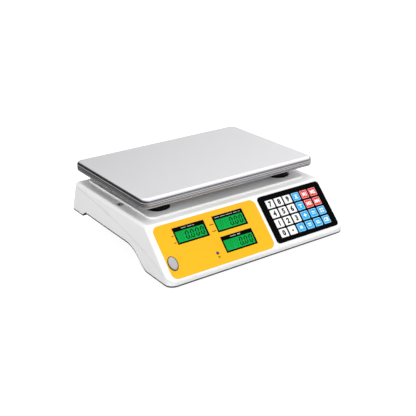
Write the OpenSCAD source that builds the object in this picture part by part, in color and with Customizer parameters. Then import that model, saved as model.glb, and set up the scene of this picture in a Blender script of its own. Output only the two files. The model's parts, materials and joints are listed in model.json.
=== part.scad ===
// Counter price scale: a stainless platter on a load cell, over a white two-part
// housing with a sloped operator panel at the front and a customer display at the
// rear. Millimetres, +Z up, +X to the operator's right, operator on the -Y side.
// The origin is on the counter, under the middle of the bounding box.

/* [Housing] */
// Width at the bottom edge
body_w = 346; // [345:0.5:348]
// Width at the deck, less than at the bottom because the sides lean in
deck_w = 343.5; // [342.5:0.5:345]
// Depth from the front lip to the rear bottom edge
body_d = 330; // [329:0.5:333]
// Height of the deck over the counter
deck_z = 91; // [90:0.5:92]
// Height of the front lip, where the operator panel starts
lip_z = 21.7; // [21:0.1:22.5]
// Slope of the operator panel
panel_slope = 46.1; // [45.5:0.1:46.5]
// Lean of the rear wall
rear_tilt = 21.3; // [20.5:0.1:22]
// Thickness of the moulded walls
wall = 2.4; // [2.2:0.1:2.8]
// Radius of the outside edges
edge_r = 6; // [5:0.5:7]
// Radius of the front corners, seen from above
corner_r = 14; // [12:1:16]

/* [Platter] */
// Width of the platter
platter_w = 336; // [330:1:340]
// Depth of the platter
platter_d = 236; // [228:1:238]
// Height of the platter's top over the counter
platter_top = 128; // [126:0.5:130]
// Depth of the turned-down rim
platter_rim = 15.6; // [12:0.2:17]
// Thickness of the sheet steel
platter_t = 1.2; // [1:0.1:1.5]
// Radius of the platter's corners, seen from above
platter_corner = 13; // [11:1:15]

/* [Keypad] */
// Distance between key centres across the keypad
key_pitch_x = 18.1; // [18:0.05:18.3]
// Distance between key centres up the keypad
key_pitch_y = 17.6; // [17.4:0.05:17.8]
// Width of a key cap
key_w = 15.1; // [14.8:0.1:15.6]
// Height of a key cap
key_h = 14.8; // [14.4:0.1:15.2]

/* [Levelling feet] */
// Radius of a foot's pad
foot_r = 15; // [13:0.5:16]
// Radius of a foot's threaded stud
stud_r = 4; // [3.5:0.1:4.5]

/* [Hidden] */
$fn = 64;
HULL_FN = 32;
WHITE = [0.93, 0.94, 0.94];
DARK = [0.16, 0.17, 0.18];
BLACK = [0.05, 0.05, 0.06];
YELLOW = [1, 0.72, 0.1];
GREEN = [0.05, 0.65, 0.3];
BOARD_GREEN = [0.05, 0.35, 0.2];
BLUE = [0, 0.63, 0.88];
RED = [0.86, 0.15, 0.13];
ALLOY = [0.72, 0.73, 0.75];
STEEL = [0.82, 0.82, 0.84];

// Side profile, as [y, z], before the base's underside is cut
front_y = -body_d / 2;
rear_y = body_d / 2;
bottom_z = 13.3;
arch_z = 42;
rear_pad_z = 34;
deck_front_y = front_y + (deck_z - lip_z) / tan(panel_slope);
shell_low = bottom_z - 4;
base_low = bottom_z - 10;
function outline(low) = [
    [front_y, low],
    [front_y, lip_z],
    [deck_front_y, deck_z],
    [rear_y - (deck_z - rear_pad_z) * tan(rear_tilt), deck_z],
    [rear_y + (rear_pad_z - low) * tan(rear_tilt), low]
];
far = 30;
arch_front_y = -36;
arch_rear_y = 110;
bottom_line = concat(
    [[front_y - far, bottom_z]],
    bezier([[-98, bottom_z], [-80, bottom_z], [-72, arch_z - 1], [arch_front_y, arch_z]], 12),
    [[arch_rear_y, arch_z], [arch_rear_y + 12, rear_pad_z], [rear_y + far, rear_pad_z]]
);
seam_line = concat(
    [[front_y - far, lip_z]],
    bezier([[front_y, lip_z], [-95, 55], [40, 80], [rear_y + 10, 84]], 16)
);

// Base
base_t = 3;
base_rim = 2.4;
seat_gap = 0.3;
floor_z = arch_z + base_t;
foot_spots = [[-130, -117], [130, -117], [-100, 113], [100, 113]];
foot_names = ["front_left_foot", "front_right_foot", "rear_left_foot", "rear_right_foot"];
pad_h = 10;
stud_top = 31;
stud_fit = 0.08;
socket_top = 36;
// Screws from below, as [x, y, height of the base's underside there]
screw_spots = [
    [-152, -143, bottom_z], [24, -143, bottom_z],
    [-159.7, -20, arch_z], [159.7, -20, arch_z],
    [-120, 136.5, rear_pad_z], [120, 136.5, rear_pad_z]
];
screw_r = 1.7;
screw_head_r = 3.6;
screw_head_h = 1.6;
screw_l = 16;
boss_r = 4;

// Deck and weighing parts
platter_setback = 18.5;
plateau_top = 94.5;
plateau_x = 153;
plateau_y = [-84, 134];
support_x = 120.5;
support_y = [-49.5, 111];
support_r = 17.5;
support_hole_r = 20;
post_r = 8;
post_top = 115;
cell_y = (support_y[0] + support_y[1]) / 2;
cell_l = 130;
cell_w = 30;
cell_z = [55, 77];
cell_hole_r = 6.5;
cell_hole_x = 15;
cell_bolt_x = [42, 57];
bolt_r = 3;
bolt_fit = 0.25;
receptor_z = [79.5, 87];
stop_gap = 0.6;
stop_along = 0.45;
vial_r = 5.2;
vial_spot = [-159.5, 2];

// Operator panel: u across, v up the slope from the lip
label_u = [-164, 28];
label_v = [3.6, 91.2];
label_t = 0.4;
label_r = 11;
// Displays, as [middle u, middle v, width, height]
weight_lcd = [-103.5, 67.5, 57.4, 27.4];
price_lcd = [-29.8, 68, 57.6, 27.6];
total_lcd = [-30, 32.4, 59.6, 27.2];
lcd_depth = 8;
lcd_proud = 0.2;
lcd_border = 2.6;
lcd_header = 6.6;
window_gap = 0.3;
seal_spot = [-154, 28.6];
light_spot = [-75.7, 23.3];
light_r = 2.6;

overlay_u = [34, 164];
overlay_v = [6.5, 91];
overlay_t = 1;
overlay_r = 6;
key_first = [53.45, 21.35];
key_gap = 0.3;
key_top = 1.8;
key_flange = 0.9;
key_flange_z = [-1.5, -0.3];
mat_z = [-4.4, -3.4];
mat_dome_z = -2.5;
board_t = 1.6;
// Keys by row from the bottom left, as [name, colour]
KEYS = [
    ["0", WHITE], ["point", WHITE], ["change", BLUE], ["unit", BLUE], ["light", BLUE],
    ["clear", BLUE],
    ["1", WHITE], ["2", WHITE], ["3", WHITE], ["plus", BLUE], ["times", BLUE],
    ["total", BLUE],
    ["4", WHITE], ["5", WHITE], ["6", WHITE], ["tare", BLUE], ["m3", RED], ["m4", RED],
    ["7", WHITE], ["8", WHITE], ["9", WHITE], ["zero", BLUE], ["m1", RED], ["m2", RED]
];
KEY_COLUMNS = 6;

// Rear display: s across as seen from behind, t up the wall from its bottom edge
rear_panel = [214, 38];
rear_panel_t = 27;
rear_lcd = [56, 24];
rear_lcd_s = [-66, 0, 66];
rear_depth = 9;

// Right side recess with the switch and the power inlet
side_x = 172;
recess_spot = [62, 58];
recess_size = [62, 20, 3.2];
switch_s = -17;
inlet_s = 18;
switch_body = [19.4, 12.6];
rocker_pivot_z = -6;
rocker_tilt = 8;
rocker_half = 7.8;
rocker_w = 10.2;
pin_r = 1;
pin_fit = 0.05;

battery_size = [97, 66, 33];
battery_corner = [-166, 60];
// Spacing of the main board's four fixings
main_board_x = [86, 146];
main_board_y = [-28, 52];

function unit(v) = v / norm(v);
function half_width(z) =
    deck_w / 2 + (body_w - deck_w) / 2 * (deck_z - z) / (deck_z - bottom_z);
// Corner b of a convex outline, moved in by r from both of its edges
function inset_corner(a, b, c, r) =
    let (u = unit(a - b), w = unit(c - b), half = acos(u * w) / 2)
    b + unit(u + w) * r / sin(half);
// Points along a cubic curve with four control points
function bezier(p, steps) = [
    for (i = [0 : steps])
        let (t = i / steps, s = 1 - t)
        p[0] * s * s * s + p[1] * 3 * s * s * t + p[2] * 3 * s * t * t + p[3] * t * t * t
];
function raised(line, h) = [for (p = line) [p[0], p[1] + h]];
function reversed(list) = [for (i = [len(list) - 1 : -1 : 0]) list[i]];

// A side profile, as [y, z] points, made as wide as the scale
module across(points, width = body_w + far) {
    rotate([90, 0, 90]) linear_extrude(height = width, center = true) polygon(points);
}

// The housing's outside, or a surface that lies inset behind it
module housing_form(inset = 0, low = shell_low) {
    corners = outline(low);
    last = len(corners);
    swing = corner_r - edge_r;
    hull() {
        for (i = [0 : last - 1], side = [-1, 1]) {
            before = corners[(i + last - 1) % last];
            p = inset_corner(before, corners[i], corners[(i + 1) % last], edge_r);
            slope = i == 1 ? tan(panel_slope) : 0;
            for (a = i < 2 ? [0 : 22.5 : 90] : [90]) {
                y = i < 2 ? p[0] + swing * (1 - cos(a)) : p[0];
                x = half_width(p[1]) - edge_r - (i < 2 ? swing * (1 - sin(a)) : 0);
                translate([side * x, y, p[1] + (y - p[0]) * slope])
                    sphere(r = edge_r - inset, $fn = HULL_FN);
            }
        }
    }
}

// Everything over the seam between the housing's halves, moved up by lift
module above_seam(lift) {
    roof = deck_z + far;
    across(concat([[rear_y + far, roof], [front_y - far, roof]], raised(seam_line, lift)));
}

// Everything between the base's underside, moved up by low, and the seam, moved by lift
module below_seam(low, lift) {
    across(concat(raised(seam_line, lift), reversed(raised(bottom_line, low))));
}

// A layer that follows the base's underside, from low to high over it
module base_layer(low, high) {
    across(concat(raised(bottom_line, high), reversed(raised(bottom_line, low))));
}

module on_panel() {
    translate([0, front_y, lip_z]) rotate([panel_slope, 0, 0]) children();
}

module on_rear() {
    translate([0, rear_y, rear_pad_z]) rotate([90 - rear_tilt, 0, 180]) children();
}

module on_right() {
    translate([side_x, recess_spot[0], recess_spot[1]]) rotate([90, 0, 90]) children();
}

// A flat slab with round corners, between two corners [x, y] and two heights
module slab(low, high, z, r) {
    translate([0, 0, z[0]]) linear_extrude(height = z[1] - z[0]) rounded(low, high, r);
}

module rounded(low, high, r) {
    translate([low[0] + r, low[1]]) square([high[0] - low[0] - 2 * r, high[1] - low[1]]);
    translate([low[0], low[1] + r]) square([high[0] - low[0], high[1] - low[1] - 2 * r]);
    for (x = [low[0] + r, high[0] - r], y = [low[1] + r, high[1] - r])
        translate([x, y]) circle(r = r);
}

module box(low, high) {
    translate(low) cube(high - low);
}

// A block [width, height] centred on a spot, between two heights
module block(spot, size, z) {
    translate([spot[0] - size[0] / 2, spot[1] - size[1] / 2, z[0]])
        cube([size[0], size[1], z[1] - z[0]]);
}

module peg(x, y, z, r) {
    translate([x, y, z[0]]) cylinder(r = r, h = z[1] - z[0]);
}

function lcd_spots() = [weight_lcd, price_lcd, total_lcd];

module upper_housing() {
    rebate = wall / 2 - 0.1;
    inner_x = plateau_x - wall;
    color(WHITE) difference() {
        union() {
            difference() {
                intersection() {
                    housing_form();
                    above_seam(seat_gap);
                }
                housing_form(wall);
                intersection() {
                    housing_form(rebate);
                    below_seam(0, wall + 0.5);
                }
            }
            slab([-plateau_x, plateau_y[0]], [plateau_x, plateau_y[1]],
                [deck_z - 1, plateau_top], 12);
            difference() {
                for (s = screw_spots) peg(s[0], s[1], [s[2] + base_t + seat_gap, deck_z - 1], boss_r);
                on_panel() box([-body_w / 2, -far, -1], [body_w / 2, body_d, deck_z]);
            }
        }
        slab([-inner_x, plateau_y[0] + wall], [inner_x, plateau_y[1] - wall],
            [deck_z - 8, plateau_top - wall], 10);
        for (x = [-support_x, support_x], y = support_y)
            peg(x, y, [deck_z - 8, deck_z + far], support_hole_r);
        peg(vial_spot[0], vial_spot[1], [deck_z - 6.2, deck_z + far], vial_r + 0.1);
        for (s = screw_spots) peg(s[0], s[1], [0, s[2] + screw_l + 2], screw_r + 0.05);
        on_panel() {
            for (l = lcd_spots())
                block(l, [l[2] + 2 * window_gap, l[3] + 2 * window_gap], [-lcd_depth, far]);
            slab([overlay_u[0] + 8, overlay_v[0] + 4.5], [overlay_u[1] - 8, overlay_v[1] - 6],
                [-6, far], 3);
            peg(light_spot[0], light_spot[1], [-8, far], light_r + 0.1);
        }
    }
}

module lower_housing() {
    color(WHITE) difference() {
        union() {
            difference() {
                union() {
                    intersection() {
                        housing_form();
                        below_seam(base_rim + seat_gap, -seat_gap);
                    }
                    intersection() {
                        housing_form(wall / 2 + 0.1);
                        below_seam(base_rim + seat_gap, wall);
                    }
                }
                housing_form(wall);
            }
            on_right() block([0, 0], recess_size + [5, 5, 0], [-7, -1.2]);
        }
        on_right() {
            slab(-[recess_size[0], recess_size[1]] / 2, [recess_size[0], recess_size[1]] / 2,
                [-recess_size[2], far], 3);
            block([switch_s, 0], switch_body + [0.2, 0.2], [-10, far]);
            peg(inlet_s, 0, [-10, far], 5.6);
        }
        on_rear() for (s = rear_lcd_s)
            block([s, rear_panel_t], rear_lcd + [0.6, 0.6], [-6, far]);
    }
}

module base_plate() {
    socket_r = 9;
    color(DARK) difference() {
        union() {
            intersection() {
                housing_form(0.4, base_low);
                base_layer(0, base_rim);
            }
            intersection() {
                housing_form(wall + 0.3, base_low);
                base_layer(0, base_t);
            }
            for (f = foot_spots) {
                front = f[1] < 0;
                if (front) peg(f[0], f[1], [bottom_z + 1, socket_top], socket_r);
                if (!front) translate([f[0], f[1], bottom_z])
                    cylinder(r1 = foot_r - 1, r2 = foot_r + 3, h = arch_z - bottom_z + 1);
            }
            for (x = main_board_x, y = main_board_y)
                peg(x, y, [arch_z + 1, floor_z + 3], 3);
        }
        for (f = foot_spots) peg(f[0], f[1], [0, socket_top - 3], stud_r + stud_fit);
        for (s = screw_spots) {
            peg(s[0], s[1], [s[2] - 1, s[2] + 10], screw_r + 0.5);
            peg(s[0], s[1], [s[2] - 1, s[2] + screw_head_h + 0.2], screw_head_r + 0.3);
        }
    }
}

module foot(spot) {
    grips = 16;
    color(BLACK) translate([spot[0], spot[1], 0]) difference() {
        rotate_extrude() polygon([
            [0, 0], [foot_r - 1.5, 0], [foot_r, 1.5], [foot_r, pad_h - 2.5],
            [foot_r - 1.5, pad_h - 1], [stud_r + 3, pad_h], [stud_r, pad_h],
            [stud_r, stud_top - 1], [stud_r - 1, stud_top], [0, stud_top]
        ]);
        for (i = [0 : grips - 1])
            rotate([0, 0, i * 360 / grips]) peg(foot_r + 0.9, 0, [1.6, pad_h + 1], 1.6);
    }
}

module front_label() {
    color(YELLOW) on_panel() difference() {
        slab([label_u[0], label_v[0]], [label_u[1], label_v[1]], [0, label_t], label_r);
        for (l = lcd_spots())
            block(l, [l[2] + 2 * window_gap, l[3] + 2 * window_gap], [-1, 1]);
        peg(light_spot[0], light_spot[1], [-1, 1], light_r + 0.1);
    }
}

module lcd_module(size, z, header, border) {
    deep = 0.9;
    difference() {
        block([0, 0], size, z);
        translate([0, (border - header) / 2, 0])
            block([0, 0], [size[0] - 2 * border, size[1] - border - header],
                [z[1] - deep, z[1] + 1]);
    }
}

module front_display(l) {
    color(GREEN) on_panel() translate([l[0], l[1], 0])
        lcd_module([l[2], l[3]], [-lcd_depth, lcd_proud], lcd_header, lcd_border);
}

module board(low, high, z, chips) {
    difference() {
        union() {
            slab(low, high, z, 2);
            for (c = chips) block([c[0], c[1]], [c[2], c[3]], [z[0], z[0] + board_t + c[4]]);
        }
        for (x = [low[0] + 4, high[0] - 4], y = [low[1] + 4, high[1] - 4])
            peg(x, y, [z[0] - 1, z[1] + 1], 1.7);
    }
}

// Chips are [x, y, width, depth, height]
module display_board() {
    color(BOARD_GREEN) on_panel() mirror([0, 0, 1])
        board([-141, 14], [12, 88], [lcd_depth, lcd_depth + board_t],
            [[-110, 33, 24, 14, 3], [-64, 37, 16, 10, 2.5], [-80, 59, 8, 24, 5]]);
}

module calibration_seal() {
    across_w = 16.6;
    up_h = 23.8;
    points = 48;
    color(ALLOY) on_panel() translate([seal_spot[0], seal_spot[1], label_t]) difference() {
        linear_extrude(height = 1.1) polygon([for (i = [0 : points - 1])
            [across_w / 2 * cos(i * 360 / points), up_h / 2 * sin(i * 360 / points)]]);
        translate([0, 0, 0.7]) linear_extrude(height = 1) polygon([for (i = [0 : points - 1])
            [(across_w / 2 - 1.6) * cos(i * 360 / points),
                (up_h / 2 - 1.6) * sin(i * 360 / points)]]);
    }
}

module charge_light() {
    color(BLUE) on_panel() translate([light_spot[0], light_spot[1], -7]) rotate_extrude()
        polygon([[0, 0], [light_r, 0], [light_r, 7.2], [light_r - 1, 7.9], [0, 8.2]]);
}

module keypad_bezel() {
    color(BLACK) on_panel() difference() {
        slab([overlay_u[0], overlay_v[0]], [overlay_u[1], overlay_v[1]], [0, overlay_t],
            overlay_r);
        for (i = [0 : len(KEYS) - 1])
            block(key_spot(i), [key_w, key_h] + 2 * [key_gap, key_gap], [-1, 2]);
    }
}

function key_spot(i) = [
    key_first[0] + key_pitch_x * (i % KEY_COLUMNS),
    key_first[1] + key_pitch_y * floor(i / KEY_COLUMNS)
];

module key_cap(i) {
    flange = 2 * [key_flange, key_flange];
    color(KEYS[i][1]) on_panel() {
        block(key_spot(i), [key_w, key_h], [key_flange_z[0], key_top]);
        block(key_spot(i), [key_w, key_h] + flange, key_flange_z);
    }
}

module keypad_mat() {
    color(DARK) on_panel() {
        slab([overlay_u[0] + 5, overlay_v[0] + 2], [overlay_u[1] - 5, overlay_v[1] - 3.5],
            mat_z, 3);
        for (i = [0 : len(KEYS) - 1]) block(key_spot(i), [9, 9], [mat_z[0], mat_dome_z]);
    }
}

module keypad_board() {
    color(BOARD_GREEN) on_panel() mirror([0, 0, 1])
        board([overlay_u[0] + 5, overlay_v[0] + 2], [overlay_u[1] - 5, overlay_v[1] - 3.5],
            [-mat_z[0], board_t - mat_z[0]], [[99, 79, 24, 6, 5]]);
}

module level_vial() {
    color("palegreen") translate([vial_spot[0], vial_spot[1], 0])
        peg(0, 0, [85, deck_z + 0.3], vial_r);
}

module load_cell() {
    x = cell_hole_x;
    mid_z = (cell_z[0] + cell_z[1]) / 2;
    color(ALLOY) difference() {
        block([0, cell_y], [cell_l, cell_w], cell_z);
        translate([0, cell_y, mid_z]) rotate([90, 0, 0]) {
            for (side = [-x, x]) translate([side, 0, 0])
                cylinder(r = cell_hole_r, h = cell_w + 2, center = true);
            cube([2 * x, 5, cell_w + 2], center = true);
        }
        for (b = cell_bolt_x) {
            peg(-b, cell_y, [cell_z[0] - 1, cell_z[0] + 17], bolt_r + bolt_fit);
            peg(b, cell_y, [cell_z[1] - 17, cell_z[1] + 1], bolt_r + bolt_fit);
        }
    }
}

stop_spots = [for (x = [-1, 1], y = [-1, 1])
    [x * support_x * stop_along, cell_y + y * (support_y[1] - cell_y) * stop_along]];

module base_bracket() {
    plate_top = floor_z + 5.3;
    color(ALLOY) difference() {
        union() {
            slab([-66, -18], [66, 80], [floor_z + 0.3, plate_top], 6);
            block([-cell_l / 2 + 17, cell_y], [36, cell_w + 6], [plate_top - 1, cell_z[0]]);
            for (s = stop_spots) peg(s[0], s[1], [plate_top - 1, plate_top + 8], 6);
        }
        for (b = cell_bolt_x) {
            peg(-b, cell_y, [floor_z, floor_z + 30], bolt_r + bolt_fit);
            peg(-b, cell_y, [floor_z, floor_z + 4.5], 5.3);
        }
        for (s = stop_spots) peg(s[0], s[1], [floor_z, floor_z + 40], bolt_r + bolt_fit);
    }
}

module base_bolts() {
    color(STEEL) for (b = cell_bolt_x) {
        peg(-b, cell_y, [floor_z + 0.5, floor_z + 4.5], 5);
        peg(-b, cell_y, [floor_z + 4, cell_z[0] + 16], bolt_r);
    }
}

module overload_stops() {
    color(STEEL) for (s = stop_spots)
        peg(s[0], s[1], [floor_z + 0.5, receptor_z[0] - stop_gap], bolt_r);
}

module load_receptor() {
    reach = [support_x, support_y[1] - cell_y];
    arm_l = norm(reach);
    arm_w = 20;
    turn = atan2(reach[1], reach[0]);
    color(ALLOY) difference() {
        union() {
            slab([-66, cell_y - 24], [66, cell_y + 24], receptor_z, 8);
            block([49.5, cell_y], [33, cell_w], [cell_z[1], receptor_z[0] + 1]);
            for (a = [turn, 180 - turn, 180 + turn, -turn])
                translate([0, cell_y, receptor_z[0] + 0.8]) rotate([0, 0, a])
                    translate([0, -arm_w / 2, 0]) cube([arm_l, arm_w, 6]);
            for (x = [-support_x, support_x], y = support_y) {
                peg(x, y, receptor_z, 13);
                peg(x, y, [receptor_z[0], post_top], post_r);
            }
        }
        for (b = cell_bolt_x) {
            peg(b, cell_y, [cell_z[1] - 1, receptor_z[1] + 1], bolt_r + bolt_fit);
            peg(b, cell_y, [receptor_z[1] - 4.2, receptor_z[1] + 1], 5.3);
        }
    }
}

module receptor_bolts() {
    head_z = receptor_z[1] - 4.2;
    color(STEEL) for (b = cell_bolt_x) {
        peg(b, cell_y, [head_z, receptor_z[1]], 5);
        peg(b, cell_y, [cell_z[1] - 16, head_z + 1], bolt_r);
    }
}

module platter_supports() {
    top = platter_top - platter_t;
    color(BLACK) for (x = [-support_x, support_x], y = support_y)
        translate([x, y, 0]) rotate_extrude() polygon([
            [post_r + 0.1, 93], [support_r - 2, 93], [support_r, 95], [support_r, 99],
            [support_r - 1.5, 101], [support_r - 1.5, top - 1], [support_r - 2.5, top],
            [0, top], [0, post_top + 0.1], [post_r + 0.1, post_top + 0.1]
        ]);
}

// Rounded tray shape, smaller all round by inset
module tray(inset, top) {
    r = platter_corner - inset;
    edge = 3 - inset;
    x = platter_w / 2 - inset;
    y = platter_d / 2 - inset;
    hull() {
        slab([-x, -y], [x, y], [platter_top - platter_rim - inset, top - edge], r);
        for (i = [1 : 5]) {
            a = i * 18;
            back = edge * (1 - cos(a));
            slab([back - x, back - y], [x - back, y - back],
                [top - edge, top - edge + edge * sin(a)], r - back);
        }
    }
}

module platter() {
    middle_y = rear_y - platter_setback - platter_d / 2;
    color(STEEL) translate([0, middle_y, 0]) difference() {
        tray(0, platter_top);
        tray(platter_t, platter_top - platter_t);
    }
}

module main_board() {
    color(BOARD_GREEN) board([main_board_x[0], main_board_y[0]] - [4, 4],
        [main_board_x[1], main_board_y[1]] + [4, 4], [floor_z + 3, floor_z + 3 + board_t],
        [[112, 10, 22, 22, 2.5], [92, 34, 10, 18, 12], [138, 30, 12, 8, 6],
            [128, -20, 26, 8, 6], [100, -20, 12, 8, 6], [104, 44, 14, 6, 8]]);
}

module battery() {
    low = [battery_corner[0], battery_corner[1], floor_z + 0.2];
    color([0.25, 0.27, 0.3]) {
        box(low, low + battery_size);
        for (y = [18, 44]) box(low + [battery_size[0], y, 10], low + [battery_size[0] + 6, y + 1, 18]);
    }
}

// One insulated lead through a list of points
module lead(points, r) {
    for (i = [0 : len(points) - 2]) hull() {
        translate(points[i]) sphere(r = r, $fn = 10);
        translate(points[i + 1]) sphere(r = r, $fn = 10);
    }
}

module wiring_harness() {
    r = 1.3;
    color(RED) {
        lead([[-66, 86, 58], [-50, 92, 53], [-30, 98, 53], [70, 98, 53], [84, 80, 53],
            [92, 44.8, 58]], r);
        lead([[66.5, cell_y, 62], [78, 28, 60], [88, 18, 56], [96, 14, 51.5]], r);
        lead([[100, -25.8, 53], [90, -40, 52], [30, -60, 52], [0, -121.5, 50]], r);
        lead([[128, -25.8, 53], [124, -44, 53], [108, -80, 56], [99, -117, 60]], r);
        lead([[138, 35.8, 53], [146, 70, 52], [120, 100, 54], [60, 118, 55], [0, 140.5, 54.5]], r);
        lead([[145.8, 30, 53], [150, 36, 57], [152.5, 44, 58]], r);
    }
}

module power_switch_frame() {
    floor = -recess_size[2];
    color(BLACK) on_right() translate([switch_s, 0, 0]) difference() {
        union() {
            block([0, 0], [23, 16], [floor, floor + 1]);
            block([0, 0], switch_body, [-16, floor + 0.5]);
        }
        block([0, 0], [2 * rocker_half + 2.2, rocker_w + 0.6], [-12, 1]);
        translate([0, 0, rocker_pivot_z]) rotate([90, 0, 0])
            cylinder(r = pin_r + pin_fit, h = switch_body[1] + 4, center = true, $fn = 32);
    }
}

module power_rocker() {
    color(DARK) on_right() translate([switch_s, 0, rocker_pivot_z])
        rotate([90, 0, 0]) rotate([0, 0, rocker_tilt]) {
            linear_extrude(height = rocker_w, center = true) polygon([
                [-rocker_half, 3.3], [0, 2.4], [rocker_half, 3.3], [rocker_half, 0],
                [3, -3], [-3, -3], [-rocker_half, 0]
            ]);
            cylinder(r = pin_r, h = rocker_w + 2, center = true, $fn = 32);
        }
}

module power_inlet() {
    floor = -recess_size[2];
    color(BLACK) on_right() translate([inlet_s, 0, 0]) difference() {
        union() {
            peg(0, 0, [floor, floor + 1.8], 7.5);
            peg(0, 0, [-12, floor + 1], 5.5);
            block([0, 0], [14, 12], [-18, -8]);
        }
        peg(0, 0, [-15, 1], 3.2);
    }
    color(STEEL) on_right() peg(inlet_s, 0, [-15.5, -6], 1);
}

module rear_display_panel() {
    low = [-rear_panel[0] / 2, rear_panel_t - rear_panel[1] / 2];
    color(BLACK) on_rear() difference() {
        slab(low, low + rear_panel, [0, label_t], 6);
        for (s = rear_lcd_s) block([s, rear_panel_t], rear_lcd + [0.6, 0.6], [-1, 1]);
    }
}

module rear_displays() {
    color(GREEN) on_rear() for (s = rear_lcd_s) translate([s, rear_panel_t, 0])
        lcd_module(rear_lcd, [-rear_depth, lcd_proud], lcd_border + 1.5, lcd_border);
}

module rear_display_board() {
    color(BOARD_GREEN) on_rear() mirror([0, 0, 1])
        board([-100, 12], [100, 43], [rear_depth, rear_depth + board_t],
            [[33, 27, 16, 10, 2.5], [-33, 27, 16, 10, 2.5]]);
}

module housing_screws() {
    color(STEEL) for (s = screw_spots) {
        peg(s[0], s[1], [s[2] + 0.2, s[2] + screw_head_h + 0.2], screw_head_r);
        peg(s[0], s[1], [s[2] + screw_head_h, s[2] + screw_l], screw_r);
    }
}

upper_housing();
lower_housing();
base_plate();
front_label();
keypad_bezel();
keypad_mat();
keypad_board();
front_display(weight_lcd);  // weight_display
front_display(price_lcd);  // unit_price_display
front_display(total_lcd);  // total_display
display_board();
calibration_seal();
charge_light();
level_vial();
load_cell();
base_bracket();
base_bolts();
overload_stops();
load_receptor();
receptor_bolts();
platter_supports();
platter();
main_board();
battery();
wiring_harness();
power_switch_frame();
power_rocker();
power_inlet();
rear_display_panel();
rear_displays();
rear_display_board();
housing_screws();
for (i = [0 : len(foot_spots) - 1])
    foot(foot_spots[i]);
for (i = [0 : len(KEYS) - 1])
    key_cap(i);
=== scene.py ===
import json
import math

import bmesh
import bpy
from mathutils import Matrix, Vector


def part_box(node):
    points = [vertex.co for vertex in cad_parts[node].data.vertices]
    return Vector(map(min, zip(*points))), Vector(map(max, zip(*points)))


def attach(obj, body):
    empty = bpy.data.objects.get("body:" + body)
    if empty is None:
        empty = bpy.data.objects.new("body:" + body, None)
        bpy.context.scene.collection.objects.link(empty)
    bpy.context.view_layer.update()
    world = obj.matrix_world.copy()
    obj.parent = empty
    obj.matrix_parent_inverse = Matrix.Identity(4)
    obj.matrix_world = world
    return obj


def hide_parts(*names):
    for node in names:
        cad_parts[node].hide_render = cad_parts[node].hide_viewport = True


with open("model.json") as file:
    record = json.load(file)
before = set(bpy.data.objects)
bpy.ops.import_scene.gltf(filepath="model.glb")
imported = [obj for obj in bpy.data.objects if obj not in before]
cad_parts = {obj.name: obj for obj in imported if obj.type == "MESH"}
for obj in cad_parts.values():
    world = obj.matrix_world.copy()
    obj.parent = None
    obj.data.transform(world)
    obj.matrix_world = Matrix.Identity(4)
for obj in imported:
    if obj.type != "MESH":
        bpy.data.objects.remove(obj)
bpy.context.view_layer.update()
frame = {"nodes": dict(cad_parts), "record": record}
NODES = frame["nodes"]
MM = 0.001

# ---------------------------------------------------------------- camera

# The view the scale is shown from: metres, degrees and millimetres of lens
AIM = Vector((0.0020, -0.0085, 0.0474))
DISTANCE = 1.3686
AZIMUTH = math.radians(-33.56)
ELEVATION = math.radians(22.54)
ROLL = math.radians(-1.56)
LENS = 69.08
SENSOR = 36


def make_camera():
    back = Vector((
        math.sin(AZIMUTH) * math.cos(ELEVATION),
        -math.cos(AZIMUTH) * math.cos(ELEVATION),
        math.sin(ELEVATION),
    ))
    data = bpy.data.cameras.new("camera")
    data.lens, data.sensor_width = LENS, SENSOR
    camera = bpy.data.objects.new("camera", data)
    camera.location = AIM + back * DISTANCE
    turn = (-back).to_track_quat("-Z", "Y").to_matrix() @ Matrix.Rotation(ROLL, 3, "Z")
    camera.rotation_euler = turn.to_euler()
    bpy.context.scene.collection.objects.link(camera)
    bpy.context.scene.camera = camera


make_camera()


# ---------------------------------------------------------------- materials

class Shader:
    """A principled material whose nodes are added with short calls."""

    def __init__(self, name, color, rough, metal=0.0, **sockets):
        self.mat = bpy.data.materials.new(name)
        self.mat.use_nodes = True
        self.mat.diffuse_color = (*color, 1)
        self.tree = self.mat.node_tree
        self.bsdf = self.tree.nodes["Principled BSDF"]
        self.set("Base Color", (*color, 1))
        self.set("Roughness", rough)
        self.set("Metallic", metal)
        for socket, value in sockets.items():
            self.set(socket.replace("_", " "), value)

    def set(self, socket, value):
        self.bsdf.inputs[socket].default_value = value

    def node(self, kind, links=(), **values):
        made = self.tree.nodes.new("ShaderNode" + kind)
        for key, value in values.items():
            if hasattr(made, key):
                setattr(made, key, value)
            else:
                made.inputs[key.replace("_", " ")].default_value = value
        for socket, source in dict(links).items():
            self.tree.links.new(source, made.inputs[socket])
        return made

    def feed(self, socket, source):
        self.tree.links.new(source, self.bsdf.inputs[socket])

    def coords(self, stretch=(1, 1, 1)):
        """Object coordinates, in metres, times stretch."""
        place = self.node("TexCoord").outputs["Object"]
        mapped = self.node("Mapping", {"Vector": place})
        mapped.inputs["Scale"].default_value = stretch
        return mapped.outputs["Vector"]

    def noise(self, scale, detail=3, stretch=(1, 1, 1)):
        found = self.node("TexNoise", {"Vector": self.coords(stretch)}, Scale=scale, Detail=detail)
        return found.outputs["Fac"]

    def spread(self, source, low, high):
        """source from 0.3 to 0.7 becomes low to high."""
        made = self.node("MapRange", {"Value": source})
        for socket, value in zip(("From Min", "From Max", "To Min", "To Max"), (0.3, 0.7, low, high)):
            made.inputs[socket].default_value = value
        return made.outputs["Result"]

    def blend(self, factor, first, second):
        made = self.node("Mix", {"Factor": factor}, data_type="RGBA")
        made.inputs[6].default_value = (*first, 1)
        made.inputs[7].default_value = (*second, 1)
        return made.outputs[2]

    def bump(self, source, depth):
        made = self.node("Bump", {"Height": source}, Distance=depth)
        self.feed("Normal", made.outputs["Normal"])
        return made


# Noise scales, in cycles per metre
TONE_SCALE = 14
GLOSS_SCALE = 60


def shade(color, k):
    """A color times k, kept within range."""
    return tuple(min(1.0, c * k) for c in color)


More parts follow.
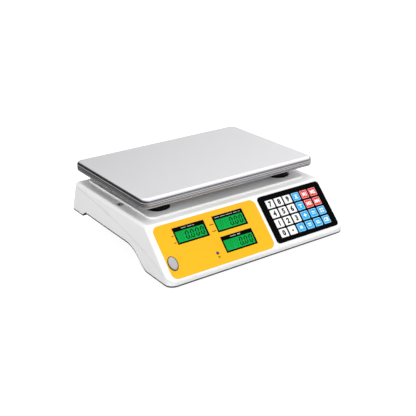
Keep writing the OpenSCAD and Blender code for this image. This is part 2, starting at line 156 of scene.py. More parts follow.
def moulded(name, color, rough=0.4, grain=2600, depth=0.00003, tone=0.05, gloss=0.06, **sockets):
    """Moulded plastic or rubber: fine spark-eroded grain, slight tone and gloss variation."""
    s = Shader(name, color, rough, **sockets)
    broad = s.spread(s.noise(TONE_SCALE, 4), 0, 1)
    s.feed("Base Color", s.blend(broad, shade(color, 1 - tone), shade(color, 1 + tone / 2)))
    s.feed("Roughness", s.spread(s.noise(GLOSS_SCALE, 5), rough - gloss, rough + gloss))
    s.bump(s.noise(grain, 2), depth)
    return s.mat


def brushed(name, color, rough, along=(1, 60, 60), depth=0.000012, scale=120, tone=0.07):
    """Brushed or milled metal with streaks along the axis whose stretch is smallest."""
    s = Shader(name, color, rough, 1.0)
    streaks = s.noise(scale, 4, along)
    s.feed("Roughness", s.spread(streaks, rough - 0.06, rough + 0.1))
    light = s.spread(streaks, 0, 1)
    s.feed("Base Color", s.blend(light, shade(color, 1 - tone), shade(color, 1 + tone / 2)))
    s.bump(streaks, depth)
    return s.mat


def cast(name, color, rough=0.5):
    """Cast metal: dull, with a coarse skin."""
    s = Shader(name, color, rough, 1.0)
    s.feed("Roughness", s.spread(s.noise(300, 4), rough - 0.1, rough + 0.12))
    s.feed("Base Color", s.blend(s.spread(s.noise(90, 5), 0, 1), shade(color, 0.85), color))
    s.bump(s.noise(900, 4), 0.0001)
    return s.mat


def circuit(name, color):
    """Solder mask with copper tracks that show faintly through it."""
    s = Shader(name, color, 0.3, Coat_Weight=0.4)
    tracks = s.node("TexBrick", {"Vector": s.coords()}, Scale=160, Mortar_Size=0.02)
    tracks.inputs["Color1"].default_value = (*shade(color, 0.8), 1)
    tracks.inputs["Color2"].default_value = (*shade(color, 1.0), 1)
    tracks.inputs["Mortar"].default_value = (*shade(color, 2.0), 1)
    s.feed("Base Color", tracks.outputs["Color"])
    s.bump(tracks.outputs["Fac"], 0.00003)
    return s.mat


def printed(name, color, rough=0.34):
    """Printed polyester film: smooth, with a faint orange peel."""
    s = Shader(name, color, rough, Specular_IOR_Level=0.12)
    broad = s.spread(s.noise(22, 3), 0, 1)
    s.feed("Base Color", s.blend(broad, shade(color, 0.97), shade(color, 1.02)))
    s.feed("Roughness", s.spread(s.noise(150, 3), rough - 0.04, rough + 0.05))
    s.bump(s.noise(500, 2), 0.00001)
    return s.mat


def lit_lcd(name, color, glow):
    """Backlit display film: brighter where the light guide's lamps are."""
    s = Shader(name, color, 0.3, Specular_IOR_Level=0.06)
    patchy = s.spread(s.noise(30, 2), 0, 1)
    s.feed("Base Color", s.blend(patchy, shade(color, 0.8), shade(color, 1.1)))
    s.feed("Emission Color", s.blend(patchy, shade(color, 0.85), shade(color, 1.15)))
    s.set("Emission Strength", glow)
    s.bump(s.noise(900, 2), 0.000005)
    return s.mat


WHITE = (0.86, 0.857, 0.856)
YELLOW = (0.87, 0.44, 0.010)
LCD_GREEN = (0.0, 0.345, 0.056)
KEY_BLUE = (0.012, 0.40, 0.79)
KEY_RED = (0.76, 0.03, 0.022)

MATS = {
    "housing_plastic": moulded("housing_plastic", WHITE, 0.26, tone=0.012, depth=0.000004, gloss=0.012),
    "base_plastic": moulded("base_plastic", (0.05, 0.055, 0.06), 0.5),
    "label_film": printed("label_film", YELLOW),
    "bezel_plastic": moulded("bezel_plastic", (0.002, 0.002, 0.0022), 0.42, depth=0.00001,
                             Specular_IOR_Level=0.01),
    "silicone": moulded("silicone", (0.03, 0.032, 0.035), 0.6),
    "circuit_board": circuit("circuit_board", (0.01, 0.09, 0.035)),
    "lcd_glass": lit_lcd("lcd_glass", LCD_GREEN, 0.12),
    "seal_metal": brushed("seal_metal", (0.43, 0.42, 0.425), 0.34, (60, 1, 60), scale=60),
    "light_lens": moulded("light_lens", (0.003, 0.014, 0.11), 0.15, Coat_Weight=0.5),
    "vial_plastic": moulded("vial_plastic", (0.03, 0.045, 0.03), 0.08, Coat_Weight=1.0),
    "aluminium_bar": brushed("aluminium_bar", (0.72, 0.73, 0.74), 0.35),
    "cast_alloy": cast("cast_alloy", (0.5, 0.51, 0.52)),
    "zinc_steel": brushed("zinc_steel", (0.6, 0.61, 0.63), 0.3, (40, 40, 1)),
    "support_rubber": moulded("support_rubber", (0.002, 0.005, 0.005), 0.5, grain=1500,
                              Specular_IOR_Level=0.2),
    "stainless_sheet": brushed("stainless_sheet", (0.925, 0.925, 0.94), 0.34, (1, 90, 90), 0.000004,
                               60, 0.02),
    "battery_case": moulded("battery_case", (0.04, 0.045, 0.055), 0.45),
    "wire_insulation": moulded("wire_insulation", (0.4, 0.01, 0.008), 0.35),
    "rocker_plastic": moulded("rocker_plastic", (0.008, 0.008, 0.009), 0.28),
    "foot_rubber": moulded("foot_rubber", (0.01, 0.01, 0.011), 0.6, grain=1500),
    "key_white": moulded("key_white", (0.88, 0.88, 0.89), 0.4, tone=0.02, Specular_IOR_Level=0.2),
    "key_blue": moulded("key_blue", KEY_BLUE, 0.4, tone=0.03, Specular_IOR_Level=0.2),
    "key_red": moulded("key_red", KEY_RED, 0.4, tone=0.03, Specular_IOR_Level=0.2),
    "ink_black": printed("ink_black", (0.008, 0.008, 0.009), 0.4),
    "ink_white": printed("ink_white", (0.85, 0.86, 0.87), 0.4),
    "ink_grey": printed("ink_grey", (0.36, 0.37, 0.38), 0.4),
    "seal_rim": brushed("seal_rim", (0.07, 0.075, 0.09), 0.4, (60, 1, 60), scale=60),
    # The rim's steel: the sheet's steel darkened as painted shade, with a smoother finish
    "stainless_rim_painted_shade": brushed("stainless_rim_painted_shade", (0.64, 0.63, 0.65), 0.17, (3, 3, 220), 0.000003, 9),
    "segment": moulded("segment", (0.0, 0.004, 0.002), 0.4, Specular_IOR_Level=0.05),
    "segment_off": moulded("segment_off", (0.0, 0.27, 0.045), 0.4, Specular_IOR_Level=0.06),
}


# ---------------------------------------------------------------- CAD nodes

SMOOTH_BELOW = math.radians(32)


def smooth(obj):
    """Smooth shading up to an angle, on welded vertices, with the faces' weights."""
    for face in obj.data.polygons:
        face.use_smooth = True
    weld = obj.modifiers.new("weld", "WELD")
    weld.merge_threshold = 0.00001
    split = obj.modifiers.new("split", "EDGE_SPLIT")
    split.split_angle = SMOOTH_BELOW
    obj.modifiers.new("even", "WEIGHTED_NORMAL").keep_sharp = True


SLOTS = {part["node"]: part["material_slot"] for part in frame["record"]["subparts"]}
for name, obj in NODES.items():
    obj.data.materials.clear()
    obj.data.materials.append(MATS[SLOTS[name]])
    smooth(obj)


# ---------------------------------------------------------------- stage

# The sky brightens along this direction, from the first strength to the second
SKY_ALONG = (0.45, 0.0, 1.0)
SKY_FROM, SKY_TO = 0.3, 1.0
SKY_LOW, SKY_HIGH = 0.03, 1.6
FLOOR_HALF = 6.0
FLOOR_GREY = (0.3, 0.3, 0.3)
FLOOR_GLOW = 0.93
# Lamps as (name, place, diameter, watts)
LAMPS = (
    ("key_light", (-0.3, -2.3, 1.1), 1.6, 33),
    ("fill_light", (-2.2, 0.0, 0.45), 0.8, 27),
    ("top_light", (0.4, 0.4, 2.4), 2.2, 2),
)
LAMP_AIM = Vector((0, 0, 0.05))


def make_world():
    """White overhead, dark low down and to the left, as in a studio; white where the camera looks."""
    world = bpy.data.worlds.new("studio")
    bpy.context.scene.world = world
    world.use_nodes = True
    tree = world.node_tree
    sky = tree.nodes["Background"]
    place = tree.nodes.new("ShaderNodeTexCoord")
    height = tree.nodes.new("ShaderNodeVectorMath")
    height.operation = "DOT_PRODUCT"
    height.inputs[1].default_value = SKY_ALONG
    ramp = tree.nodes.new("ShaderNodeMapRange")
    seen = tree.nodes.new("ShaderNodeLightPath")
    most = tree.nodes.new("ShaderNodeMath")
    most.operation = "MAXIMUM"
    limits = (SKY_FROM, SKY_TO, SKY_LOW, SKY_HIGH)
    for socket, value in zip(("From Min", "From Max", "To Min", "To Max"), limits):
        ramp.inputs[socket].default_value = value
    tree.links.new(place.outputs["Generated"], height.inputs[0])
    tree.links.new(height.outputs["Value"], ramp.inputs["Value"])
    tree.links.new(ramp.outputs["Result"], most.inputs[0])
    tree.links.new(seen.outputs["Is Camera Ray"], most.inputs[1])
    tree.links.new(most.outputs[0], sky.inputs["Strength"])
    sky.inputs["Color"].default_value = (1, 1, 1, 1)


def make_floor():
    """Pale paper that glows for the camera only, so that it is white without lighting the scale."""
    me = bpy.data.meshes.new("floor")
    r = FLOOR_HALF
    me.from_pydata([(-r, -r, 0), (r, -r, 0), (r, r, 0), (-r, r, 0)], [], [(0, 1, 2, 3)])
    floor = bpy.data.objects.new("floor", me)
    bpy.context.scene.collection.objects.link(floor)
    paper = Shader("floor", FLOOR_GREY, 0.9, Emission_Color=(1, 1, 1, 1))
    seen = paper.node("LightPath").outputs["Is Camera Ray"]
    glow = paper.node("Math", {0: seen}, operation="MULTIPLY")
    glow.inputs[1].default_value = FLOOR_GLOW
    paper.feed("Emission Strength", glow.outputs[0])
    floor.data.materials.append(paper.mat)


def area_light(name, place, size, power):
    """A round soft lamp that points at the scale and isn't mirrored in it."""
    data = bpy.data.lights.new(name, "AREA")
    data.shape, data.size, data.energy = "DISK", size, power
    light = bpy.data.objects.new(name, data)
    light.location = place
    light.visible_glossy = False
    light.rotation_euler = (LAMP_AIM - Vector(place)).to_track_quat("-Z", "Y").to_euler()
    bpy.context.scene.collection.objects.link(light)


make_world()
make_floor()
for lamp in LAMPS:
    area_light(*lamp)
bpy.context.scene.view_settings.view_transform = "Standard"


# ---------------------------------------------------------------- geometry helpers

TINY = 1e-6


def span_of(points):
    """Lowest and highest corner of some points."""
    low = Vector([min(p[i] for p in points) for i in range(3)])
    high = Vector([max(p[i] for p in points) for i in range(3)])
    return low, high


class Plane:
    """Axes on the flat outside of a CAD node: x across, y up the face, z outwards."""

    def __init__(self, node, outward):
        outward = Vector(outward)
        areas = {}
        for face in NODES[node].data.polygons:
            if face.normal.dot(outward) > 0.5:
                key = tuple(round(c, 4) for c in face.normal)
                areas[key] = areas.get(key, 0) + face.area
        z = Vector(max(areas, key=areas.get)).normalized()
        x = Vector((0, 0, 1)).cross(z)
        x = x.normalized() if x.length > 0.01 else Vector((1, 0, 0))
        self.matrix = Matrix((x, z.cross(x), z)).transposed().to_4x4()
        self.inverse = self.matrix.inverted()

    def span(self, node):
        return span_of([self.inverse @ v.co for v in NODES[node].data.vertices])

    def islands(self, node):
        """The spans of a node's separate solids, from left to right."""
        bm = bmesh.new()
        bm.from_mesh(NODES[node].data)
        bmesh.ops.remove_doubles(bm, verts=bm.verts, dist=0.00001)
        found, seen = [], set()
        for start in bm.verts:
            if start in seen:
                continue
            stack, group = [start], []
            seen.add(start)
            while stack:
                vert = stack.pop()
                group.append(self.inverse @ vert.co)
                for edge in vert.link_edges:
                    other = edge.other_vert(vert)
                    if other not in seen:
                        seen.add(other)
                        stack.append(other)
            found.append(span_of(group))
        bm.free()
        return sorted(found, key=lambda s: s[0].x)


def rounded_ring(middle, size, radius, z, steps=6):
    """Points around a rectangle with round corners."""
    radius = max(min(radius, size[0] / 2 - TINY, size[1] / 2 - TINY), TINY)
    points = []
    for i, (sx, sy) in enumerate(((1, 1), (-1, 1), (-1, -1), (1, -1))):
        cx = middle[0] + sx * (size[0] / 2 - radius)
        cy = middle[1] + sy * (size[1] / 2 - radius)
        for k in range(steps + 1):
            a = math.pi / 2 * (i + k / steps)
            points.append(Vector((cx + radius * math.cos(a), cy + radius * math.sin(a), z)))
    return points


def oval_ring(middle, size, z, steps=48):
    """Points around an oval."""
    return [Vector((
        middle[0] + size[0] / 2 * math.cos(math.tau * i / steps),
        middle[1] + size[1] / 2 * math.sin(math.tau * i / steps),
        z,
    )) for i in range(steps)]


def loft(bm, rings, slot=0, closed=True):
    """Skins between rings of equal length, with a face over each end."""
    rows = [[bm.verts.new(p) for p in ring] for ring in rings]
    made = []
    for a, b in zip(rows, rows[1:]):
        n = len(a)
        for i in range(n):
            j = (i + 1) % n
            made.append(bm.faces.new((a[i], a[j], b[j], b[i])))
    if closed:
        made.append(bm.faces.new(rows[0][::-1]))
        made.append(bm.faces.new(rows[-1]))
    for face in made:
        face.material_index = slot


def prism(bm, outline, z0, z1, slot=0):
    """A flat shape given thickness."""
    loft(bm, [[Vector((x, y, z)) for x, y in outline] for z in (z0, z1)], slot)


def bar(bm, middle, size, z0, z1, slot=0, radius=0.2 * MM):
    """A flat rectangle with round corners, given thickness."""
    loft(bm, [rounded_ring(middle, size, radius, z, 2) for z in (z0, z1)], slot)


def finish_mesh(name, bm, mats, body, matrix=None, stands_for=(), angle=35):
    """Turns a bmesh into a piece that rides a body; edges bent by more than angle stay sharp."""
    bmesh.ops.recalc_face_normals(bm, faces=bm.faces)
    limit = math.radians(angle)
    for face in bm.faces:
        face.smooth = True
    for edge in bm.edges:
        edge.smooth = len(edge.link_faces) == 2 and edge.calc_face_angle(0) < limit
    me = bpy.data.meshes.new(name)
    bm.to_mesh(me)
    bm.free()
    for mat in mats:
        me.materials.append(MATS[mat])
    obj = bpy.data.objects.new(name, me)
    if matrix is not None:
        obj.matrix_world = matrix
    bpy.context.scene.collection.objects.link(obj)
    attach(obj, body)
    if stands_for:
        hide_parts(*stands_for)


def fillet(inset, z, radius, steps=5):
    """(inset, z) pairs round the edge between a wall at inset and a flat top at z."""
    pairs = []
    for i in range(steps + 1):
        a = math.pi / 2 * i / steps
        pairs.append((inset + radius * (1 - math.cos(a)), z - radius * (1 - math.sin(a))))
    return pairs


def middle_of(span):
    return (span[0] + span[1]) / 2


PANEL = Plane("front_label", (0, -1, 1))
REAR = Plane("rear_display_panel", (0, 1, 0.3))
RIGHT = Plane("power_switch_frame", (1, 0, 0))


# ---------------------------------------------------------------- keys

# How far the flange stands out, its thickness, the dish's depth, the wall's draft, the edge's radius
KEY_FLANGE = 0.9 * MM
KEY_STEP = 1.2 * MM
KEY_DISH = 0.18 * MM
KEY_DRAFT = 0.12 * MM
KEY_EDGE = 0.55 * MM
# Corner radius in plan, in mm
KEY_CORNER = 1.3
# Insets of the thin outline on the coloured keys, and of the rings down into the dish, in mm
OUTLINE = (0.6, 0.95)
DISH_INSETS = (1.4, 2.4, 3.6, 5.0, 6.6)
# Half the thickness of printing
INK = 0.05 * MM
GLYPH_SIZE = 12.4 * MM
# Figure width over its natural width, stroke gain over size, and size of a two-letter legend
GLYPH_NARROW = 0.88
GLYPH_BOLD = 0.055
GLYPH_PAIR = 0.7
LEGENDS = {str(i): str(i) for i in range(10)}
LEGENDS.update({"clear": "CE", "m1": "M1", "m2": "M2", "m3": "M3", "m4": "M4"})


def glyphs(bm, text, size, z0, z1, slot):
    """Plain figures from Blender's own font, made bold and given a thickness."""
    data = bpy.data.curves.new("glyphs", "FONT")
    data.body, data.size, data.align_x, data.align_y = text, size, "CENTER", "CENTER"
    data.offset, data.resolution_u, data.extrude = size * GLYPH_BOLD, 3, 0
    holder = bpy.data.objects.new("glyphs", data)
    bpy.context.scene.collection.objects.link(holder)
    bpy.context.view_layer.update()
    flat = holder.to_mesh()
    points = [v.co.copy() for v in flat.vertices]
    low, high = span_of(points)
    centre = (low + high) / 2
    part = bmesh.new()
    part.from_mesh(flat)
    bmesh.ops.remove_doubles(part, verts=part.verts, dist=size * 0.001)
    lower = {v: bm.verts.new(((v.co.x - centre.x) * GLYPH_NARROW, v.co.y - centre.y, z0))
             for v in part.verts}
    upper = {v: bm.verts.new(lower[v].co + Vector((0, 0, z1 - z0))) for v in part.verts}
    made = []
    for face in part.faces:
        made.append(bm.faces.new([upper[v] for v in face.verts]))
        made.append(bm.faces.new([lower[v] for v in reversed(face.verts)]))
    for edge in part.edges:
        if len(edge.link_faces) == 1:
            a, b = edge.verts
            made.append(bm.faces.new((lower[a], lower[b], upper[b], upper[a])))
    for face in made:
        face.material_index = slot
    part.free()
    holder.to_mesh_clear()
    bpy.data.objects.remove(holder)
    bpy.data.curves.remove(data)


def dish(p, size):
    """Depth of the finger dish at a point measured from the cap's middle."""
    inset = min(size[0] / 2 - abs(p.x), size[1] / 2 - abs(p.y))
    t = max(0.0, min(1.0, inset / (min(size) / 2)))
    return KEY_DISH * t * (2 - t)


def key_marks(bm, name, top, size, ink_name):
    """The legend, flat at first and then laid into the dish."""
    z0, z1 = top - INK, top + INK
    # Bars as (x, y, width, height) in mm
    bars = {
        "point": [(0, -0.6, 3.2, 3.2)],
        "plus": [(0, 0, 6.4, 2.0), (0, 0, 2.0, 6.4)],
        "times": [(0, 1.9, 6.6, 1.5), (-1.6, -1.3, 3.2, 1.5), (2.3, -1.3, 1.8, 1.5)],
        "change": [(0, 0, 5.2, 5.2)],
        "unit": [(0, 1.8, 7.6, 1.6), (0, -1.4, 6.0, 1.6)],
        "light": [(-0.4, 1.8, 6.8, 1.6), (0.4, -1.4, 7.4, 1.6)],
        "total": [(x, y, 3.0, 3.0) for y in (2.2, -2.2) for x in (-2.2, 2.2)],
        "tare": [(0, 2.2, 7.4, 1.5), (0, -1.2, 1.8, 4.4)],
        "zero": [(0, 3.0, 7.0, 1.2), (0, 0, 3.6, 3.2), (0, -3.0, 7.0, 1.2)],
    }
    if ink_name == "ink_white":
        outer, inner = OUTLINE
        rings = [rounded_ring((0, 0), size - Vector((2, 2)) * i * MM, (KEY_CORNER - i / 2) * MM, z)
                 for i, z in ((outer, z0), (outer, z1), (inner, z1), (inner, z0))]
        loft(bm, rings + rings[:1], 1, closed=False)
    if name in LEGENDS:
        text = LEGENDS[name]
        glyphs(bm, text, GLYPH_SIZE * (1.0 if len(text) == 1 else GLYPH_PAIR), z0, z1, 1)
    for x, y, w, h in bars.get(name, []):
        bar(bm, (x * MM, y * MM), (w * MM, h * MM), z0, z1, 1, 0.3 * MM)


def make_key(node):
    """A key cap on its flange, with a drafted wall, a round edge, a finger dish and its legend."""
    low, high = PANEL.span(node)
    centre = (low + high) / 2
    size = Vector((high.x - low.x, high.y - low.y)) - Vector((2, 2)) * KEY_FLANGE
    base, top = low.z, high.z
    step = base + KEY_STEP
    bm = bmesh.new()
    outer = size + Vector((2, 2)) * KEY_FLANGE
    rings = [
        rounded_ring((0, 0), outer - Vector((0.2, 0.2)) * MM, 0.9 * MM, base),
        rounded_ring((0, 0), outer, 1.0 * MM, base + 0.1 * MM),
        rounded_ring((0, 0), outer, 1.0 * MM, step - 0.1 * MM),
        rounded_ring((0, 0), outer - Vector((0.2, 0.2)) * MM, 0.9 * MM, step),
        rounded_ring((0, 0), size, KEY_CORNER * MM, step),
    ]
    for inset, z in fillet(KEY_DRAFT, top, KEY_EDGE):
        radius = KEY_CORNER * MM - inset / 2
        rings.append(rounded_ring((0, 0), size - Vector((2, 2)) * inset, radius, z))
    for inset in DISH_INSETS:
        inner = size - Vector((2, 2)) * inset * MM
        z = top - dish(Vector((0, inner.y / 2)), size)
        rings.append(rounded_ring((0, 0), inner, max(KEY_CORNER - inset / 6, 0.3) * MM, z))
    loft(bm, rings)
    ink = "ink_black" if SLOTS[node] == "key_white" else "ink_white"
    before = set(bm.verts)
    key_marks(bm, node.removeprefix("key_"), top, size, ink)
    for vert in bm.verts:
        if vert not in before:
            vert.co.z -= dish(vert.co, size)
    matrix = PANEL.matrix @ Matrix.Translation((centre.x, centre.y, 0))
    finish_mesh("cap_" + node, bm, [SLOTS[node], ink], node, matrix, [node])


for key_node in [n for n in NODES if n.startswith("key_")]:
    make_key(key_node)


# ---------------------------------------------------------------- displays

# Black border, printed header in front and behind, and the window's depth
LCD_BORDER = 2.6 * MM
LCD_HEADER = 6.6 * MM
REAR_HEADER = 4.1 * MM
LCD_FLOOR = 0.85 * MM
# Figures: spacing, places shown, lean, width and stroke over the spacing, height over the window
DIGIT_PITCH = 9.2 * MM
DIGIT_PLACES = 5
DIGIT_LEAN = 0.1
DIGIT_WIDE = 0.72
DIGIT_STROKE = 0.21
DIGIT_TALL = 0.76
LIT, FAINT = 0.06 * MM, 0.03 * MM
SEGMENTS = {"0": "abcdef"}


def segment_shapes(w, h, t):
    """Outlines of the seven segments of a figure, about its middle."""
    gap = t * 0.14

    def across(y):
        half = w / 2 - t / 2 - gap
        return [(-half, y), (-half + t / 2, y + t / 2), (half - t / 2, y + t / 2),
                (half, y), (half - t / 2, y - t / 2), (-half + t / 2, y - t / 2)]

    def up(x, y):
        half = h / 4 - gap - t * 0.25
        return [(x, y - half), (x + t / 2, y - half + t / 2), (x + t / 2, y + half - t / 2),
                (x, y + half), (x - t / 2, y + half - t / 2), (x - t / 2, y - half + t / 2)]

    x, y, q = w / 2 - t / 2, h / 2 - t / 2, h / 4 - t * 0.25
    return {"a": across(y), "g": across(0), "d": across(-y),
            "b": up(x, q), "c": up(x, -q), "e": up(-x, -q), "f": up(-x, q)}


def lean(points, at):
    """Moves an outline to a place and slants it."""
    return [(at[0] + x + y * DIGIT_LEAN, at[1] + y) for x, y in points]


def figures(bm, text, right, mid_y, height, z):
    """A number in seven-segment figures that ends at right; the rest of its places stay faint."""
    w, t = DIGIT_PITCH * DIGIT_WIDE, DIGIT_PITCH * DIGIT_STROKE
    shapes = segment_shapes(w, height, t)
    digits = [c for c in text if c != "."]
    for i in range(DIGIT_PLACES):
        x = right - DIGIT_PITCH * (i + 0.5)
        lit = SEGMENTS[digits[-1 - i]] if i < len(digits) else ""
        for name, outline in shapes.items():
            on = name in lit
            prism(bm, lean(outline, (x, mid_y)), z, z + (LIT if on else FAINT), 1 if on else 2)
    if "." in text:
        x = right - DIGIT_PITCH * (len(text) - text.index(".") - 1)
        bar(bm, (x - DIGIT_LEAN * height / 2, mid_y - height / 2 + t / 2), (t, t), z, z + LIT, 1)


def make_display(name, span, plane, header, text, marks, stands_for):
    """A black frame with a printed header, and the lit window with its figures."""
    low, high = span
    size = (high.x - low.x, high.y - low.y)
    window = (size[0] - 2 * LCD_BORDER, size[1] - LCD_BORDER - header)
    shift = (LCD_BORDER - header) / 2
    floor = high.z - LCD_FLOOR
    matrix = plane.matrix @ Matrix.Translation(((low.x + high.x) / 2, (low.y + high.y) / 2, 0))
    bm = bmesh.new()

    def outside(inset, z):
        return rounded_ring((0, 0), (size[0] - 2 * inset, size[1] - 2 * inset), 0.9 * MM - inset, z)

    def inside(inset, z, r=0.6):
        return rounded_ring((0, shift), (window[0] - 2 * inset, window[1] - 2 * inset), r * MM, z)

    loft(bm, [
        outside(0.3 * MM, low.z), outside(0, low.z + 0.3 * MM), outside(0, high.z - 0.35 * MM),
        outside(0.1 * MM, high.z - 0.1 * MM), outside(0.35 * MM, high.z),
        inside(-0.35 * MM, high.z), inside(-0.1 * MM, high.z - 0.1 * MM), inside(0, high.z - 0.3 * MM),
        inside(0, floor),
    ])
    mark_y = size[1] / 2 - header / 2
    for x, w, h in marks:
        bar(bm, (x * MM, mark_y), (w * MM, h * MM), high.z - INK, high.z + INK, 1, 0.15 * MM)
    finish_mesh(name + "_frame", bm, ["bezel_plastic", "ink_grey"], "housing", matrix,
                stands_for)

    bm = bmesh.new()
    glass = floor + 0.3 * MM
    loft(bm, [inside(0.05 * MM, floor + 0.02 * MM), inside(0.05 * MM, glass - 0.05 * MM),
              inside(0.1 * MM, glass)])
    height = window[1] * DIGIT_TALL
    right = window[0] / 2 - 1.0 * MM
    figures(bm, text, right, shift, height, glass)
    finish_mesh(name + "_glass", bm, ["lcd_glass", "segment", "segment_off"], "housing",
                matrix)


# Printed marks in each header, as (place across, width, height) in mm
MARKS = {
    "weight_display": [(-9, 9, 1.0), (2, 8, 1.0), (9, 3.4, 1.0)],
    "unit_price_display": [(-20, 9, 1.0), (-9.5, 9, 1.0), (3, 12, 1.0), (15, 7, 1.0),
                           (22.5, 4, 1.0)],
    "total_display": [(-7, 11, 1.2), (4, 5.6, 1.8)],
}
TEXTS = {"weight_display": "0.000", "unit_price_display": "0.00", "total_display": "0.00"}
for display, text in TEXTS.items():
    make_display(display, PANEL.span(display), PANEL, LCD_HEADER, text, MARKS[display], [display])

rear_modules = REAR.islands("rear_displays")
for i, (span, text) in enumerate(zip(rear_modules, ("0.00", "0.00", "0.000"))):
    make_display(f"rear_display_{i + 1}", span, REAR, REAR_HEADER, text, [(0, 14, 1.0)],
                 ["rear_displays"])


# ---------------------------------------------------------------- panel trim

def make_seal():
    """The oval seal: a dark rolled rim and a domed disc in it."""
    low, high = PANEL.span("calibration_seal")
    centre = (low + high) / 2
    size = Vector((high.x - low.x, high.y - low.y))
    height = high.z - low.z
    matrix = PANEL.matrix @ Matrix.Translation((centre.x, centre.y, low.z))
    bm = bmesh.new()
    rings = [(0.0, 0.0), (0.0, 0.35), (0.12, 0.6), (0.4, 0.8), (0.8, 0.8), (1.0, 0.65), (1.15, 0.5)]
    loft(bm, [oval_ring((0, 0), size - Vector((2, 2)) * i * MM, z * MM) for i, z in rings])
    finish_mesh("seal_rim", bm, ["seal_rim"], "housing", matrix, ["calibration_seal"])
    bm = bmesh.new()
    dome = [(1.15, 0.3), (1.15, 0.55), (1.5, 0.8), (2.2, 0.95), (3.6, 1.06), (5.2, 1.1), (7.0, 1.1)]
    loft(bm, [oval_ring((0, 0), size - Vector((2, 2)) * i * MM, z * MM) for i, z in dome])
    finish_mesh("seal_disc", bm, ["seal_metal"], "housing", matrix)


def make_light():
    """The charge light's lens and two printed dashes under it."""
    low, high = PANEL.span("charge_light")
    centre = (low + high) / 2
    wide = high.x - low.x
    label = PANEL.span("front_label")[1].z
    matrix = PANEL.matrix @ Matrix.Translation((centre.x, centre.y, 0))
    bm = bmesh.new()
    profile = [(0, low.z), (0, label + 0.1 * MM), (0.25, label + 0.45 * MM), (0.7, high.z - 0.25 * MM),
               (1.2, high.z - 0.08 * MM), (1.8, high.z)]
    loft(bm, [oval_ring((0, 0), (wide - 2 * i * MM, wide - 2 * i * MM), z, 32) for i, z in profile])
    finish_mesh("light_lens", bm, ["light_lens"], "housing", matrix, ["charge_light"])
    bm = bmesh.new()
    for down, w in ((6.0, 4.6), (8.0, 3.4)):
        bar(bm, (0, -down * MM), (w * MM, 1.0 * MM), label - INK, label + INK, 0, 0.2 * MM)
    finish_mesh("light_mark", bm, ["ink_black"], "housing", matrix)


def make_annunciators():
    """Small printed dashes beside the first two displays."""
    label = PANEL.span("front_label")[1].z
    bm = bmesh.new()
    dashes = {"weight_display": [(-4.6, 1.6), (-2.7, 1.2)],
              "unit_price_display": [(-8.6, 2.0), (-6.0, 2.2), (-3.4, 1.8)]}
    for display, places in dashes.items():
        low, high = PANEL.span(display)
        for up in (0.55, 0.15):
            y = low.y + (high.y - low.y) * up
            for dx, w in places:
                bar(bm, (low.x + dx * MM, y), (w * MM, 1.6 * MM), label - INK, label + INK, 0,
                    0.15 * MM)
    finish_mesh("annunciator_marks", bm, ["ink_black"], "housing", PANEL.matrix)


def make_vial():
    """The bubble level: dark ring, pale body, dark liquid, and its bubble as a white cap that is a
    painted highlight.
    """
    low, high = span_of([v.co for v in NODES["level_vial"].data.vertices])
    centre = (low + high) / 2
    wide = high.x - low.x
    matrix = Matrix.Translation((centre.x, centre.y, 0))

    def circles(profile):
        return [oval_ring((0, 0), (wide * f, wide * f), z, 40) for f, z in profile]

    bm = bmesh.new()
    loft(bm, circles([(1, low.z), (1, high.z - 0.2 * MM), (0.97, high.z), (0.86, high.z),
                      (0.83, high.z - 0.3 * MM), (0.83, high.z - 1.2 * MM)]))
    finish_mesh("vial_ring", bm, ["bezel_plastic"], "housing", matrix, ["level_vial"])
    bm = bmesh.new()
    loft(bm, circles([(0.82, high.z - 1.0 * MM), (0.82, high.z - 0.6 * MM), (0.74, high.z - 0.35 * MM),
                      (0.6, high.z - 0.25 * MM)]))
    finish_mesh("vial_body", bm, ["ink_white"], "housing", matrix)
    bm = bmesh.new()
    loft(bm, circles([(0.58, high.z - 0.2 * MM), (0.58, high.z - 0.12 * MM), (0.4, high.z - 0.06 * MM),
                      (0.12, high.z - 0.04 * MM)]))
    finish_mesh("vial_liquid", bm, ["vial_plastic"], "housing", matrix)
    # The bubble: a white cap over the liquid, a painted highlight
    bm = bmesh.new()
    loft(bm, circles([(0.16, high.z - 0.03 * MM), (0.16, high.z), (0.12, high.z + 0.04 * MM),
                      (0.05, high.z + 0.06 * MM)]))
    finish_mesh("vial_bubble_painted_highlight", bm, ["ink_white"], "housing",
                matrix @ Matrix.Translation((0.5 * MM, -0.4 * MM, 0)))


make_seal()
make_light()
make_annunciators()
make_vial()


# ---------------------------------------------------------------- platter

# Corner radius in plan, as on the CAD platter, radius of the rolled edge, and the sheet's thickness
PLATTER_CORNER = 13 * MM
PLATTER_ROLL = 6.0 * MM
SHEET = 1.2 * MM
# Inset of a ring on the flat top, past the roll
TOP_RING = 9 * MM
# The rim's material starts this much of the roll under the top: the sheet's steel made darker as
# painted shade, with a brighter polish
SHADED_RIM_FROM = 0.15
# Steps down the rim, in mm: distance under the top, depth, and drop or half height
RIM_LEDGES = ((6.3, 1.5, 1.3), (9.2, 1.3, 1.1))
RIM_GROOVE = (13.0, 1.1, 0.9)


def ledge(z, depth, drop):
    """(inset, z) pairs down an undercut and the slope that comes back out under it."""
    return [(0, z), (depth * 0.85, z - 0.2 * MM), (depth, z - 0.4 * MM), (0, z - 0.4 * MM - drop)]


def groove(z, depth, half):
    """(inset, z) pairs down a rounded groove across the rim."""
    return [(depth * (1 - math.cos(a)) / 2, z + half * (1 - a / math.pi))
            for a in [math.tau * k / 8 for k in range(9)]]


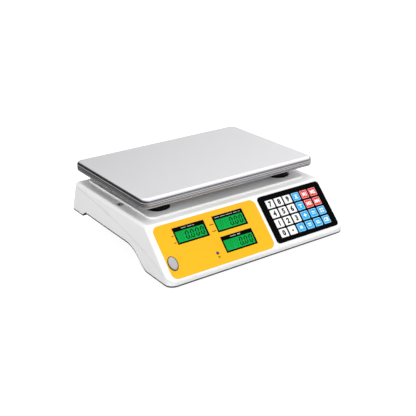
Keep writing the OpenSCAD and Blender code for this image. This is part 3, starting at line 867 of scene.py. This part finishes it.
def make_platter():
    """The platter's sheet: flat top, rolled edge, stepped rim and the hem inside it."""
    low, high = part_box("platter")
    centre = (low + high) / 2
    size = Vector((high.x - low.x, high.y - low.y))
    top, foot = high.z, low.z
    outer = [(PLATTER_ROLL + TOP_RING, top), (PLATTER_ROLL + 0.2 * MM, top)]
    outer += [(i, z) for i, z in reversed(fillet(0, top, PLATTER_ROLL, 8))]
    for down, depth, drop in RIM_LEDGES:
        outer += ledge(top - down * MM, depth * MM, drop * MM)
    down, depth, half = RIM_GROOVE
    outer += groove(top - down * MM, depth * MM, half * MM)
    outer += [(0.05 * MM, foot + 2.0 * MM), (0.25 * MM, foot + 0.8 * MM), (0.7 * MM, foot + 0.15 * MM),
              (1.0 * MM, foot), (SHEET + 0.5 * MM, foot), (SHEET + 0.8 * MM, foot + 0.5 * MM),
              (SHEET + 0.8 * MM, foot + 2.2 * MM), (SHEET, foot + 2.8 * MM),
              (SHEET, top - PLATTER_ROLL), (SHEET + 1.2 * MM, top - SHEET - 0.9 * MM),
              (PLATTER_ROLL + 0.6 * MM, top - SHEET)]
    bm = bmesh.new()
    rings = []
    for inset, z in outer:
        corner = PLATTER_CORNER - inset
        rings.append(rounded_ring((centre.x, centre.y), size - Vector((2, 2)) * inset, corner, z, 10))
    loft(bm, rings)
    # Faces below this line take the rim's darker steel, painted shade
    for face in bm.faces:
        if face.calc_center_median().z < top - SHADED_RIM_FROM * PLATTER_ROLL:
            face.material_index = 1
    finish_mesh("platter_sheet", bm, ["stainless_sheet", "stainless_rim_painted_shade"], "platter",
                None, ["platter"], 50)


make_platter()


# ---------------------------------------------------------------- switch and inlet

# Places of the two marks from the rocker's middle, and the line's size
LINE_AT, RING_AT = -4.6 * MM, 4.4 * MM
LINE_SIZE = (0.7 * MM, 4.0 * MM)
# The ring's section as (diameter, height over the rocker) in mm
RING_SECTION = ((3.6, -0.2), (3.6, 0.06), (2.4, 0.06), (2.4, -0.2))


def make_switch_marks():
    """The line and ring that mark the two ends of the rocker."""
    rocker = RIGHT.span("power_rocker")
    verts = [RIGHT.inverse @ v.co for v in NODES["power_rocker"].data.vertices]
    mid = middle_of(rocker)
    half = (rocker[1].y - rocker[0].y) / 2

    def surface(x):
        """Height of the rocker's face at x, between its outer edges and its middle line."""
        ends = []
        for limit in (lambda v: v.x < mid.x - 6 * MM, lambda v: abs(v.x - mid.x) < 2 * MM,
                      lambda v: v.x > mid.x + 6 * MM):
            near = [v for v in verts if limit(v) and abs(v.y - mid.y) < half]
            best = max(near, key=lambda v: v.z)
            ends.append(best)
        a, m, b = ends
        p, q = (a, m) if x < m.x else (m, b)
        return p.z + (q.z - p.z) * (x - p.x) / (q.x - p.x)

    bm = bmesh.new()
    x = mid.x + LINE_AT
    z = surface(x)
    bar(bm, (x, mid.y), LINE_SIZE, z - 0.2 * MM, z + 0.06 * MM)
    finish_mesh("rocker_line", bm, ["ink_white"], "rocker", RIGHT.matrix)
    bm = bmesh.new()
    x = mid.x + RING_AT
    z = surface(x)
    rows = [oval_ring((x, mid.y), (d * MM, d * MM), z + h * MM, 28) for d, h in RING_SECTION]
    loft(bm, rows + rows[:1], closed=False)
    bmesh.ops.remove_doubles(bm, verts=bm.verts, dist=0.000001)
    finish_mesh("rocker_ring", bm, ["ink_white"], "rocker", RIGHT.matrix)


make_switch_marks()
